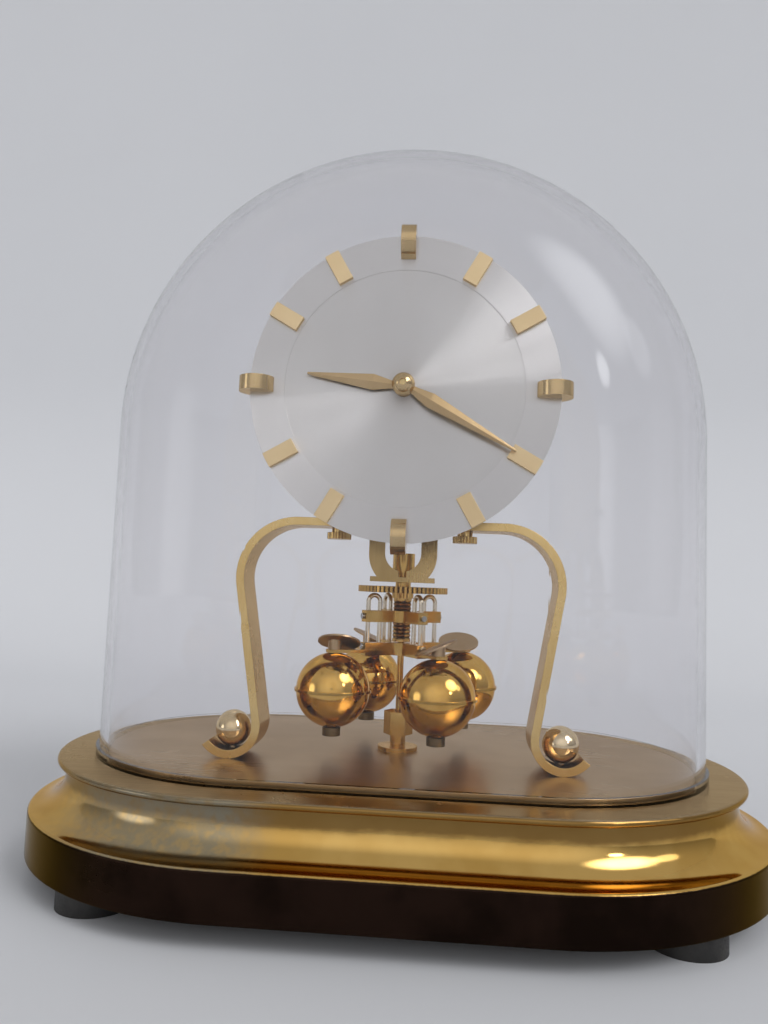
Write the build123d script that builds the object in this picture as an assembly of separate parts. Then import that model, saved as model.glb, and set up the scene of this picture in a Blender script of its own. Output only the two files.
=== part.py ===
from build123d import *
from math import acos, atan2, cos, degrees, hypot, radians, sin, sqrt, tan
import os

# Torsion-pendulum table clock under an oval glass dome.
# Millimetres, +Z up, the dial faces -Y, the origin is under the middle of the base where it stands.

# Fits and small gaps
RUN = 0.05            # radial play of a pivot or a pipe
PASS = 0.1            # radial play of a screw, stud or wire in its hole
AIR = 0.3             # gap between faces that move past each other

# Base: a pressed, hollow oval shell
CORE = 40.5           # half the straight run of every oval outline
SHELL_T = 1.2         # sheet
WALL_H = 11.5         # height of the upright wall
RIM_ROUND = 1.0       # rounding of the rim over the wall
COVE_DEPTH = 8.2      # how far the cove draws in
COVE_H = 12.4         # height of the cove
LIP_OVER = 1.9        # rolled lip past the top of the cove
LIP_H = 1.9           # height of the rolled lip
LIP_BULGE = 0.8       # swell of the rolled lip
FLANGE_W = 11.5       # flange outside the glass
DECK_T = 1.5          # top deck
PLATE_T = 1.5         # raised plate inside the dome
FOOT_R = 10.0
FOOT_H = 6.7
FOOT_EDGE = 2.0       # foot to the outside of the wall
FOOT_ANGLE = 53.0     # place of a foot round the end of the oval
FOOT_STEM_R = 2.5
FOOT_NUT_R = 4.6
FOOT_NUT_H = 2.4

# Dome
GLASS_T = 2.5
DOME_FRONT = 6.6      # glass in front of the hand nut
DOME_DROP = 9.4       # top of the upright walls below the dial's centre
DOME_BEAD = 0.9       # thickened foot of the glass
DOME_BEAD_H = 2.4
DOME_PLAY = 0.5       # raised plate to the glass

# Legs: bent strips that carry the movement
LEG_T = 2.4
LEG_W = 14.0
LEG_H = 70.8          # middle of the strip at the top, above the raised plate
LEG_END = 5.2         # level top past the stud, towards the middle
LEG_BEND_R = 17.0     # upper bend, middle of the strip
LEG_LEAN = 9.5        # lean of the straight run, in degrees
LEG_ROOM = 3.9        # leg to the path of the pendulum's balls
LEG_CURL_R = 8.3      # curl, middle of the strip
LEG_CURL_OPEN = 38.0  # gap left at the end of the curl, in degrees
LEG_BALL_R = 5.4
LEG_SCREW_R = 1.5
LEG_SCREW_HEAD_R = 3.6
LEG_SCREW_HEAD_H = 2.2
STUD_IN = 2.8         # studs on the legs, from the edge of the plates
STUD_R = 1.4
THUMB_R = 3.7
THUMB_H = 3.6
THUMB_TEETH = 24
THUMB_KNURL = 0.4
THUMB_COLLAR_R = 2.3
THUMB_COLLAR_H = 1.6

# Dial and hands
DIAL_R = 45.0
DIAL_T = 0.8
DIAL_ZONE_R = 34.8    # inner zone of the dial
DIAL_STEP = 0.15      # inner zone below the outer ring
DIAL_GAP = 6.5        # front of the dial to the front plate
DIAL_HOLE_PLAY = 0.5  # hole in the dial to the hour pipe
DIAL_POST_R = 1.7
DIAL_POST_IN = 4.0    # posts from the edge of the plates
DIAL_POST_UP = 14.0   # posts above and below the dial's centre
DIAL_POST_DOWN = 20.0
BAR_L = 9.3
BAR_W = 4.4
BAR_T = 1.5
ROLL_R = 5.1          # round hour markers at twelve, three, six and nine
ROLL_L = 4.3
ROLL_OUT = 3.2        # how far a round marker stands out past the dial
HAND_T = 0.3          # edge of a hand
HAND_SLOPE = 0.35     # rise of a hand's ridge for its half width
HAND_BOSS_WALL = 0.7  # boss of a hand outside the hour pipe
HAND_BOSS_T = 0.9
HAND_GAP = 1.1        # hour hand's boss to the minute hand
HOUR_SHORT = 7.5      # hour hand short of the flat bars
HOUR_W = 2.35         # widest half width
MINUTE_SHORT = 1.0    # minute hand short of the round markers
MINUTE_W = 2.2
HAND_NECK_W = 1.2
HAND_NECK_L = 0.8     # neck past the boss
HAND_TIP_W = 0.32
HAND_WIDEST = 9.0     # widest place, from the centre
HOUR_ANGLE = 173.3    # turn from +X, seen from the front
MINUTE_ANGLE = -29.6
NUT_R = 3.3
NUT_H = 3.0
NUT_SINK = 0.8        # end of the centre arbor inside the nut
PIPE_T = 0.65         # wall of the cannon pipe and the hour pipe

# Movement
AXIS_BACK = 8.5       # pendulum's axis behind the back plate
MOVE_PLATE_T = 1.5
MOVE_HALF_W = 22.0
MOVE_CORNER = 2.0
ANCHOR_ROOM = 8.0     # plates above the anchor's arbor
BLOCK_W = 7.0
BLOCK_H = 3.5
PILLAR_R = 3.0
PILLAR_WAIST_R = 2.25
PILLAR_IN = 4.5       # pillars from the side edges of the plates
PILLAR_DROP = 4.5     # pillars below the top of the plates
GRIP = 3.0            # screws in the ends of pillars and blocks
PLATE_SCREW_R = 1.2
PLATE_SCREW_HEAD_R = 2.2
PLATE_SCREW_HEAD_H = 1.2
PIVOT_R = 0.7
ARBOR_R = 0.95

# Toothing: straight-flanked teeth with pointed gaps
ADDENDUM = 0.7
DEDENDUM = 1.35
TIP_SHARE = 0.1
FINE = 0.4            # module of the slow wheels
STRONG = 0.5          # module of the fast wheels
BARREL_TEETH = 72
SECOND_TEETH = 64
THIRD_TEETH = 60
SLOW_PINION = 8
CENTRE_TEETH = 48
FOURTH_TEETH = 36
FAST_PINION = 12
ESCAPE_TEETH = 20
CANNON_TEETH = 12
MINUTE_TEETH = 36
MINUTE_PINION = 10
HOUR_TEETH = 40

# Going train between the plates
WHEEL_T = 0.8
WHEEL_RIM = 1.6
WHEEL_HUB_R = 2.4
SPOKE_W = 1.4
THIRD_LEAN = 41.7     # third arbor below the level of the centre, in degrees
SECOND_LEAN = 18.3    # second arbor left of straight below the third
BARREL_LEAN = 15.0    # barrel's arbor above the level of the second
MINUTE_LEAN = 60.0    # minute wheel below the level of the centre
TRAIN_FOOT = 0.74     # great wheel above the leg blocks
ESCAPE_ROOM = 1.2     # escape arbor outside the centre wheel
CENTRE_BACK = 0.6     # centre wheel to the back plate
GREAT_GAP = 0.6       # great wheel to the centre wheel
DRUM_GAP = 0.8        # drum to the second wheel
THIRD_GAP = 2.0       # second wheel to the third wheel
THIRD_FRONT = 0.4     # third wheel to the front plate
ESCAPE_BACK = 5.0     # escape wheel to the back plate
DRUM_L = 12.0
DRUM_IN = 0.86        # drum inside the roots of the great wheel's teeth
GREAT_T = 1.2
ESCAPE_R = 7.4
ESCAPE_DEPTH = 1.9
ANCHOR_HUB_R = 2.0
ANCHOR_GAP = 1.1      # anchor's hub to the tips of the escape teeth
PALLET_GAP = 1.1      # pallets to the tips of the escape teeth
PALLET_SPREAD = 52.0  # half spread of the pallets round the escape wheel
PALLET_L = 3.2
PALLET_W = 1.2

# Winding work behind the back plate
WIND_R = 2.4
WIND_SQUARE = 3.2
WIND_OUT = 9.0
RATCHET_R = 6.8
RATCHET_DEPTH = 0.9
RATCHET_TEETH = 24
RATCHET_T = 1.2
CLICK_L = 9.0
CLICK_W = 2.4
CLICK_EYE_R = 1.8
CLICK_PIN_R = 1.0

# Suspension
SADDLE_W = 10.0
SADDLE_T = 1.5
SADDLE_BACK = 3.5     # saddle behind the pendulum's axis
SADDLE_GAP = 1.3      # foot of the saddle above the anchor's arbor
SADDLE_SCREW_IN = 2.0
SADDLE_HEAD_R = 1.7
BLOCK_TOP_H = 6.0     # upper block of the suspension
BLOCK_TOP_W = 5.0
BLOCK_TOP_D = 4.0
WIRE_W = 0.6
WIRE_T = 0.2
FORK_RISE = 8.1       # fork above the anchor's arbor
FORK_DOWN = 6.9       # fork below the top of the ribbon
FORK_H = 1.2
FORK_W = 3.4
FORK_TINE = 1.3       # tines past the crutch pin
CRUTCH_R = 0.5
CRUTCH_OUT = 3.2      # crutch pin in front of the pendulum's axis
CRUTCH_UP = 2.1       # crutch pin above the middle of the fork

# Yoke under the movement
YOKE_R = 10.9
YOKE_IN_R = 5.8
YOKE_IN_UP = 0.4      # middle of the inner round above that of the outer one
YOKE_BELLY = 7.2      # middle of the outer round above the shelf
YOKE_SLOT = 2.6       # gap between the two horns
YOKE_T = 1.5
YOKE_UP = 9.5         # yoke above the bottom of the plates
YOKE_SCREW_DROP = 3.0
YOKE_SHELF_T = 1.6
YOKE_SHELF_IN = 0.6   # shelf inside the width of the horns
YOKE_SHELF_BACK = 6.0
YOKE_PLAY = 0.8       # hole in the shelf to the spindle's collar

# Pendulum
TURN_OFF = 31.4       # place of the first ball, from the front towards +X
BALL_COUNT = 4
BALL_R = 11.5
BALL_LIFT = 5.6       # ball nuts above the raised plate
BALL_FLAT = 0.1       # flats at the ball's top and bottom
BALL_BEAD = 0.5
BALL_BEAD_H = 0.9
BALL_BOLT_R = 1.2
BALL_HEAD_R = 1.5
BALL_HEAD_H = 0.9
BALL_NUT_R = 2.8
BALL_NUT_H = 2.5
CAP_R = 6.7
CAP_T = 0.6
CAP_UP = 1.4          # middle of a cap above the head of the bolt
CAP_TWIST = 20.0      # tilt of a cap about its arm, in degrees
CAP_TIP = 12.0        # rise of a cap along its arm, in degrees
CAP_WALL = 0.5        # boss of a cap round the head of the bolt
CAP_IN = 1.5          # middle of a cap inside the bolt
CAP_GAP = 0.8         # cap to the screw in the end of an ear
ARM_T = 1.0
ARM_W = 4.0
HUB_R = 4.4
HUB_DROP = 0.8        # lower hub below its arms
LOW_HUB_H = 4.0
EAR_W = 3.4
EAR_END = 1.4         # ear past the hairpin
EAR_SCREW_R = 0.9
EAR_SCREW_OUT = 0.8
PIN_WIRE_R = 0.75     # hairpin guides
PIN_IN_R = 8.2
PIN_SPAN = 4.2        # between the legs of a hairpin
PIN_SINK = 1.4
HIGH_HUB_H = 3.7
HIGH_HUB_UP = 6.2     # travelling hub above the foot of the screw
SCREW_R = 3.0
SCREW_L = 14.0
SCREW_PITCH = 1.25
SCREW_DEPTH = 0.35
GEAR_HUB_R = 3.5
GEAR_HUB_H = 1.8
GEAR_HUB_TEETH = 16
GEAR_HUB_FLUTE = 0.4
DISC_R = 14.6
DISC_T = 2.0
DISC_TEETH = 60
DISC_KNURL = 0.45
SPINDLE_R = 1.05
COLLAR_R = 2.5
COLLAR_OUT = 1.4      # collar above and below the yoke's shelf
LOW_BLOCK_R = 3.6
LOW_BLOCK_H = 6.4
LOW_BLOCK_SLOT = 1.2
LOW_BLOCK_SLOT_H = 2.9

# Guide post under the pendulum
POST_FLANGE_R = 6.4
POST_FLANGE_T = 1.2
POST_NECK_R = 2.45
POST_NECK_H = 3.7
POST_BODY_R = 4.7
POST_BODY_H = 7.2
POST_BORE_DEPTH = 5.0
POST_PLAY = 0.35
POST_STEM_R = 1.8
POST_NUT_R = 4.0
POST_NUT_H = 2.4
TIP_GAP = 1.0         # pendulum's tip above the bottom of the bore


def cyl(r, z0, z1, x=0.0, y=0.0):
    """Upright cylinder from z0 to z1."""
    return Pos(x, y, z0) * Cylinder(r, z1 - z0, align=(Align.CENTER, Align.CENTER, Align.MIN))


def rod(r, y0, y1, x, z):
    """Cylinder along Y from y0 back to y1."""
    place = Plane(origin=(x, y0, z), x_dir=(1, 0, 0), z_dir=(0, 1, 0))
    return place * Cylinder(r, y1 - y0, align=(Align.CENTER, Align.CENTER, Align.MIN))


def slab(sketch, y_front, y_back, x=0.0, z=0.0):
    """A sketch seen from the front, with thickness from y_front back to y_back."""
    face = Plane(origin=(x, y_back, z), x_dir=(1, 0, 0), z_dir=(0, -1, 0)) * sketch
    return extrude(face, amount=y_back - y_front, dir=(0, -1, 0))


def block(x0, x1, y0, y1, z0, z1):
    """Box between two corners."""
    middle = Pos((x0 + x1) / 2, (y0 + y1) / 2, (z0 + z1) / 2)
    return middle * Box(x1 - x0, y1 - y0, z1 - z0)


def polar(r, angle, start=(0.0, 0.0)):
    """Point at a distance and direction, in degrees, from a start."""
    return (start[0] + r * cos(radians(angle)), start[1] + r * sin(radians(angle)))


def group(pieces):
    """Separate solids kept together in one node."""
    return Compound(children=list(pieces))


def hexagon(r, z0, z1, x=0.0, y=0.0):
    """Upright hexagon over corners of radius r."""
    return Pos(x, y, z0) * extrude(RegularPolygon(r, 6), amount=z1 - z0)


def toothed(tip_r, root_r, teeth, first=0.0, tip_share=TIP_SHARE):
    """Outline with pointed gaps; one tooth points along the first angle."""
    step = 360.0 / teeth
    points = []
    for k in range(teeth):
        at = first + k * step
        points.append(polar(tip_r, at - tip_share * step / 2))
        points.append(polar(tip_r, at + tip_share * step / 2))
        points.append(polar(root_r, at + step / 2))
    return Polygon(*points, align=None)


def tip_radius(teeth, module):
    return module * (teeth / 2 + ADDENDUM)


def root_radius(teeth, module):
    return module * (teeth / 2 - DEDENDUM)


def gear(teeth, module, first):
    """Gear outline; one tooth points along the first angle."""
    return toothed(tip_radius(teeth, module), root_radius(teeth, module), teeth, first)


def crossed(teeth, module, first):
    """Wheel outline with a rim, a hub and four spokes."""
    rim = root_radius(teeth, module) - WHEEL_RIM
    windows = Circle(rim) - Circle(WHEEL_HUB_R)
    bars = Rectangle(2 * rim + 1, SPOKE_W) + Rectangle(SPOKE_W, 2 * rim + 1)
    return gear(teeth, module, first) - (windows - bars)


def apart(teeth_a, teeth_b, module):
    """Distance between the arbors of two meshing gears."""
    return module * (teeth_a + teeth_b) / 2


def oval(r, z0, z1):
    """Upright oval slab."""
    sketch = Rectangle(2 * CORE, 2 * r) + Pos(CORE, 0) * Circle(r) + Pos(-CORE, 0) * Circle(r)
    return Pos(0, 0, z0) * extrude(sketch, amount=z1 - z0)


def oval_moulding(profile):
    """Carry a section, drawn as radius and height on the XZ plane, round the oval."""
    right = Pos(CORE, 0, 0) * revolve(Rot(0, 0, -90) * profile, axis=Axis.Z, revolution_arc=180)
    left = Rot(0, 0, 180) * right
    back = Pos(CORE, 0, 0) * extrude(Rot(0, 0, 90) * profile, amount=2 * CORE, dir=(-1, 0, 0))
    front = Rot(0, 0, 180) * back
    return right + back + left + front


# Depths, from the pendulum's axis forward
BACK_Y = -AXIS_BACK                               # back of the back plate
OUTER_Y = BACK_Y - MOVE_PLATE_T                   # front of the back plate
CENTRE_Y = OUTER_Y - CENTRE_BACK                  # backs of the wheels
GREAT_Y = CENTRE_Y - WHEEL_T - GREAT_GAP
SECOND_Y = GREAT_Y - GREAT_T - DRUM_L - DRUM_GAP
THIRD_Y = SECOND_Y - WHEEL_T - THIRD_GAP
INNER_Y = THIRD_Y - WHEEL_T - THIRD_FRONT         # back of the front plate
FRONT_Y = INNER_Y - MOVE_PLATE_T                  # front of the front plate
FOURTH_Y = (INNER_Y + OUTER_Y) / 2
ESCAPE_Y = OUTER_Y - ESCAPE_BACK
CANNON_Y = FRONT_Y - AIR                          # back of the cannon pinion and the minute wheel
PAIR_Y = CANNON_Y - WHEEL_T - 2 * AIR             # back of the hour wheel
RATCHET_Y = BACK_Y + AIR                          # front of the ratchet wheel
LEG_Y = (INNER_Y + OUTER_Y) / 2                   # middle of the legs
DIAL_Y = FRONT_Y - DIAL_GAP                       # front of the dial
HOUR_Y = DIAL_Y - BAR_T + AIR                     # back of the hour hand
MINUTE_Y = HOUR_Y - HAND_BOSS_T - HAND_GAP        # back of the minute hand
NUT_Y = MINUTE_Y - HAND_BOSS_T                    # back of the hand nut

# Radii of what goes round something else
DOME_R = NUT_H - NUT_Y + DOME_FRONT + GLASS_T     # outer oval radius of the glass
PLATE_R = DOME_R - GLASS_T - DOME_PLAY
LIP_R = DOME_R + FLANGE_W
COVE_R = LIP_R - LIP_OVER                         # top of the cove
RIM_R = COVE_R + COVE_DEPTH + RIM_ROUND           # outside of the wall
TURN_R = RIM_R - FOOT_EDGE - 2 * FOOT_R           # edge of the flange turned in under the wall
PIPE_R = ARBOR_R + PIPE_T
HOUR_PIPE_R = PIPE_R + RUN + PIPE_T
DIAL_HOLE_R = HOUR_PIPE_R + DIAL_HOLE_PLAY
HAND_BOSS_R = HOUR_PIPE_R + HAND_BOSS_WALL
HOUR_L = DIAL_R - BAR_L - HOUR_SHORT
MINUTE_L = DIAL_R + ROLL_OUT - 2 * ROLL_R - MINUTE_SHORT
DRUM_R = root_radius(BARREL_TEETH, FINE) - DRUM_IN
ANCHOR_RISE = ESCAPE_R + ANCHOR_HUB_R + ANCHOR_GAP
YOKE_HOLE_R = COLLAR_R + YOKE_PLAY
PIN_OUT_R = PIN_IN_R + PIN_SPAN
EAR_R = PIN_OUT_R + EAR_END
BALL_ORBIT = EAR_R + EAR_SCREW_OUT + CAP_GAP + CAP_R + CAP_IN
CAP_BOSS_R = BALL_HEAD_R + PASS + CAP_WALL
LEG_CURL_X = BALL_ORBIT + BALL_R + BALL_BEAD + LEG_ROOM + LEG_T / 2 + LEG_CURL_R
STUD_X = MOVE_HALF_W - STUD_IN
PILLAR_X = MOVE_HALF_W - PILLAR_IN
LEG_END_X = STUD_X - LEG_END

# Arbors, as seen from the front and counted from the dial's centre
CENTRE_TO_THIRD = -THIRD_LEAN
THIRD_TO_SECOND = -90 - SECOND_LEAN
SECOND_TO_BARREL = 180 - BARREL_LEAN
CENTRE_TO_MINUTE = -MINUTE_LEAN
THIRD_AT = polar(apart(THIRD_TEETH, SLOW_PINION, FINE), CENTRE_TO_THIRD)
SECOND_AT = polar(apart(SECOND_TEETH, SLOW_PINION, FINE), THIRD_TO_SECOND, THIRD_AT)
BARREL_AT = polar(apart(BARREL_TEETH, SLOW_PINION, FINE), SECOND_TO_BARREL, SECOND_AT)
MINUTE_AT = polar(apart(CANNON_TEETH, MINUTE_TEETH, FINE), CENTRE_TO_MINUTE)
ESCAPE_UP = tip_radius(CENTRE_TEETH, STRONG) + ARBOR_R + ESCAPE_ROOM
FOURTH_IN = apart(CENTRE_TEETH, FAST_PINION, STRONG)
FOURTH_OUT = apart(FOURTH_TEETH, FAST_PINION, STRONG)
FOURTH_COS = (FOURTH_IN ** 2 + ESCAPE_UP ** 2 - FOURTH_OUT ** 2) / (2 * FOURTH_IN * ESCAPE_UP)
CENTRE_TO_FOURTH = 90 - degrees(acos(FOURTH_COS))
FOURTH_AT = polar(FOURTH_IN, CENTRE_TO_FOURTH)
FOURTH_TO_ESCAPE = degrees(atan2(ESCAPE_UP - FOURTH_AT[1], -FOURTH_AT[0]))
MOTION = FINE * (CANNON_TEETH + MINUTE_TEETH) / (MINUTE_PINION + HOUR_TEETH)   # module of the hour pair

# Heights, from the table up
RIM_Z = FOOT_H + WALL_H + RIM_ROUND
FLANGE_Z = RIM_Z + COVE_H + LIP_H
UNDER_Z = FLANGE_Z - DECK_T
PLATE_Z = FLANGE_Z + PLATE_T
BALL_NUT_Z = PLATE_Z + BALL_LIFT
BALL_LOW_Z = BALL_NUT_Z + BALL_NUT_H
BALL_Z = BALL_LOW_Z + BALL_R - BALL_FLAT
ARM_Z = BALL_Z + BALL_R - BALL_FLAT
LOW_HUB_Z = ARM_Z - HUB_DROP
SCREW_Z = LOW_HUB_Z + LOW_HUB_H + AIR
HIGH_HUB_Z = SCREW_Z + HIGH_HUB_UP
GEAR_HUB_Z = SCREW_Z + SCREW_L
DISC_Z = GEAR_HUB_Z + GEAR_HUB_H
COLLAR_Z = DISC_Z + DISC_T
SHELF_Z = COLLAR_Z + COLLAR_OUT
LOW_BLOCK_Z = SHELF_Z + YOKE_SHELF_T + COLLAR_OUT
WIRE_LOW_Z = LOW_BLOCK_Z + LOW_BLOCK_H
POST_TOP_Z = PLATE_Z + POST_FLANGE_T + POST_NECK_H + POST_BODY_H
LEG_TOP_Z = PLATE_Z + LEG_H + LEG_T / 2
BLOCK_Z = LEG_TOP_Z + BLOCK_H / 2
DIAL_Z = LEG_TOP_Z + BLOCK_H + TRAIN_FOOT + tip_radius(BARREL_TEETH, FINE) - BARREL_AT[1]
SPRING_Z = DIAL_Z - DOME_DROP
ANCHOR_Z = DIAL_Z + ESCAPE_UP + ANCHOR_RISE
MOVE_TOP_Z = ANCHOR_Z + ANCHOR_ROOM
PILLAR_Z = MOVE_TOP_Z - PILLAR_DROP
FORK_Z = ANCHOR_Z + FORK_RISE
WIRE_TOP_Z = FORK_Z + FORK_DOWN
SADDLE_Z = WIRE_TOP_Z + BLOCK_TOP_H
SADDLE_FOOT_Z = ANCHOR_Z + PIVOT_R + SADDLE_GAP


def raised(place):
    """A place counted from the dial's centre, carried to its height."""
    return (place[0], place[1] + DIAL_Z)


# Places of arbors, posts, screws, feet and balls
CENTRE = raised((0.0, 0.0))
THIRD = raised(THIRD_AT)
SECOND = raised(SECOND_AT)
BARREL = raised(BARREL_AT)
MINUTE = raised(MINUTE_AT)
FOURTH = raised(FOURTH_AT)
ESCAPE = raised((0.0, ESCAPE_UP))
ANCHOR = (0.0, ANCHOR_Z)
CLICK = (BARREL[0] + CLICK_L, BARREL[1] + RATCHET_R + CLICK_W / 2)
SIDES = (-1, 1)
FOOT_AT = polar(RIM_R - FOOT_EDGE - FOOT_R, FOOT_ANGLE)
FEET = [(sx * (CORE + FOOT_AT[0]), sy * FOOT_AT[1]) for sx in SIDES for sy in SIDES]
BALLS = [TURN_OFF - 90 + 360 / BALL_COUNT * k for k in range(BALL_COUNT)]
HOURS = [90 - 30 * k for k in range(12)]
POSTS = [(s * STUD_X, BLOCK_Z) for s in SIDES] + [(s * PILLAR_X, PILLAR_Z) for s in SIDES]
DIAL_POST_X = MOVE_HALF_W - DIAL_POST_IN
DIAL_POSTS = [(s * DIAL_POST_X, DIAL_Z + z) for s in SIDES for z in (DIAL_POST_UP, -DIAL_POST_DOWN)]
YOKE_SCREWS = [(s * (YOKE_R - PLATE_SCREW_HEAD_R), LEG_TOP_Z + YOKE_UP - YOKE_SCREW_DROP) for s in SIDES]
SADDLE_SCREWS = [(s * (SADDLE_W / 2 - SADDLE_SCREW_IN), (SADDLE_FOOT_Z + MOVE_TOP_Z) / 2) for s in SIDES]


# Base
def base_shell():
    """Pressed shell: wall, rim, cove and rolled lip round the oval, with a deck on top."""
    t = SHELL_T
    rim_in = RIM_R - RIM_ROUND
    swing = (COVE_DEPTH ** 2 + COVE_H ** 2) / (2 * COVE_H)
    inner_r = rim_in - sqrt((swing + t) ** 2 - (UNDER_Z - RIM_Z - swing) ** 2)
    lip = LIP_R - LIP_BULGE
    deck = inner_r / 2
    mid = polar(1, 225)
    cove_mid = (rim_in + swing * mid[0], RIM_Z + swing + swing * mid[1])
    inner_mid = (rim_in + (swing + t) * mid[0], RIM_Z + swing + (swing + t) * mid[1])
    half = RIM_ROUND * (1 - sqrt(0.5))
    edges = [
        Line((TURN_R, FOOT_H), (RIM_R, FOOT_H)),
        Line((RIM_R, FOOT_H), (RIM_R, RIM_Z - RIM_ROUND)),
        ThreePointArc((RIM_R, RIM_Z - RIM_ROUND), (RIM_R - half, RIM_Z - half), (rim_in, RIM_Z)),
        ThreePointArc((rim_in, RIM_Z), cove_mid, (COVE_R, RIM_Z + COVE_H)),
        Line((COVE_R, RIM_Z + COVE_H), (lip, RIM_Z + COVE_H)),
        ThreePointArc((lip, RIM_Z + COVE_H), (LIP_R, FLANGE_Z - LIP_H / 2), (lip, FLANGE_Z)),
        Line((lip, FLANGE_Z), (deck, FLANGE_Z)),
        Line((deck, FLANGE_Z), (deck, UNDER_Z)),
        Line((deck, UNDER_Z), (inner_r, UNDER_Z)),
        ThreePointArc((inner_r, UNDER_Z), inner_mid, (rim_in, RIM_Z - t)),
        Line((rim_in, RIM_Z - t), (RIM_R - t, RIM_Z - t)),
        Line((RIM_R - t, RIM_Z - t), (RIM_R - t, FOOT_H + t)),
        Line((RIM_R - t, FOOT_H + t), (TURN_R, FOOT_H + t)),
        Line((TURN_R, FOOT_H + t), (TURN_R, FOOT_H)),
    ]
    shell = oval_moulding(Plane.XZ * make_face(edges)) + oval(deck, UNDER_Z, FLANGE_Z)
    for x, y in FEET:
        shell -= cyl(FOOT_STEM_R + PASS, FOOT_H - 1, FOOT_H + t + 1, x, y)
    for side in SIDES:
        shell -= cyl(LEG_SCREW_R + PASS, UNDER_Z - 1, FLANGE_Z + 1, side * LEG_CURL_X, LEG_Y)
    return shell - cyl(POST_STEM_R + PASS, UNDER_Z - 1, FLANGE_Z + 1)


def base_plate():
    """Raised plate that centres the dome."""
    plate = oval(PLATE_R, FLANGE_Z, PLATE_Z)
    for side in SIDES:
        plate -= cyl(LEG_SCREW_R + PASS, FLANGE_Z - 1, PLATE_Z + 1, side * LEG_CURL_X, LEG_Y)
    return plate - cyl(POST_STEM_R + PASS, FLANGE_Z - 1, PLATE_Z + 1)


def foot(x, y):
    """Round foot with a stem through the turned-in flange."""
    top = FOOT_H + SHELL_T + FOOT_NUT_H
    return cyl(FOOT_R, 0, FOOT_H, x, y) + cyl(FOOT_STEM_R, FOOT_H, top, x, y)


def foot_nut(x, y):
    z = FOOT_H + SHELL_T
    return hexagon(FOOT_NUT_R, z, z + FOOT_NUT_H, x, y) - cyl(FOOT_STEM_R, z - 1, z + FOOT_NUT_H + 1, x, y)


def guide_post():
    """Flanged post with a hexagonal head and a bore for the pendulum's tip."""
    neck_z = PLATE_Z + POST_FLANGE_T
    head_z = neck_z + POST_NECK_H
    post = cyl(POST_FLANGE_R, PLATE_Z, neck_z) + cyl(POST_NECK_R, neck_z, head_z)
    post += hexagon(POST_BODY_R, head_z, POST_TOP_Z) + cyl(POST_STEM_R, UNDER_Z - POST_NUT_H, PLATE_Z)
    return post - cyl(SPINDLE_R + POST_PLAY, POST_TOP_Z - POST_BORE_DEPTH, POST_TOP_Z + 1)


def guide_nut():
    nut = hexagon(POST_NUT_R, UNDER_Z - POST_NUT_H, UNDER_Z)
    return nut - cyl(POST_STEM_R, UNDER_Z - POST_NUT_H - 1, UNDER_Z + 1)


# Dome
def dome_solid(r, z0):
    """Oval upright walls with a crown turned about a level axis."""
    half_plan = Pos(CORE / 2, 0) * Rectangle(CORE, 2 * r) + Pos(CORE, 0) * Circle(r)
    half_plan = half_plan & Pos(CORE + r, 0) * Rectangle(2 * (CORE + r), 4 * r)
    level = Axis((0, 0, SPRING_Z), (0, -1, 0))
    crown = revolve(Pos(0, 0, SPRING_Z) * half_plan, axis=level, revolution_arc=180)
    return oval(r, z0, SPRING_Z) + crown


def glass_dome():
    outer = dome_solid(DOME_R, FLANGE_Z) + oval(DOME_R + DOME_BEAD, FLANGE_Z, FLANGE_Z + DOME_BEAD_H)
    return outer - dome_solid(DOME_R - GLASS_T, FLANGE_Z - 1)


# Legs
def leg(side):
    """Bent strip: level top, upper bend, leaning run and a curl at the foot."""
    top = PLATE_Z + LEG_H
    lean = radians(LEG_LEAN)
    curl = (LEG_CURL_X, PLATE_Z + LEG_T / 2 + LEG_CURL_R)
    curl_end = 360 - LEG_CURL_OPEN
    run_x = LEG_CURL_X - LEG_CURL_R * cos(lean)
    run_z = curl[1] + LEG_CURL_R * sin(lean)
    bend_z = top - LEG_BEND_R
    bend_x = run_x + (bend_z - LEG_BEND_R * sin(lean) - run_z) * tan(lean) - LEG_BEND_R * cos(lean)
    bend = (bend_x, bend_z)
    sides = []
    for s in (LEG_T / 2, -LEG_T / 2):
        upper, lower = LEG_BEND_R + s, LEG_CURL_R - s
        sides += [
            Line((LEG_END_X, top + s), (bend_x, top + s)),
            CenterArc(bend, upper, -LEG_LEAN, 90 + LEG_LEAN),
            Line(polar(upper, -LEG_LEAN, bend), polar(lower, 180 - LEG_LEAN, curl)),
            CenterArc(curl, lower, 180 - LEG_LEAN, curl_end - 180 + LEG_LEAN),
        ]
    ends = [
        Line((LEG_END_X, top + LEG_T / 2), (LEG_END_X, top - LEG_T / 2)),
        Line(polar(LEG_CURL_R - LEG_T / 2, curl_end, curl), polar(LEG_CURL_R + LEG_T / 2, curl_end, curl)),
    ]
    strip = slab(make_face(sides + ends), LEG_Y - LEG_W / 2, LEG_Y + LEG_W / 2)
    strip -= cyl(STUD_R + PASS, top - LEG_T, top + LEG_T, STUD_X, LEG_Y)
    strip -= cyl(LEG_SCREW_R + PASS, PLATE_Z - 1, PLATE_Z + LEG_T + 1, LEG_CURL_X, LEG_Y)
    return strip if side > 0 else mirror(strip, about=Plane.YZ)


def leg_ball(side):
    z = PLATE_Z + LEG_T + LEG_BALL_R
    sphere = Pos(side * LEG_CURL_X, LEG_Y, z) * Sphere(LEG_BALL_R)
    return sphere - cyl(LEG_SCREW_R, PLATE_Z, z, side * LEG_CURL_X, LEG_Y)


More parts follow.
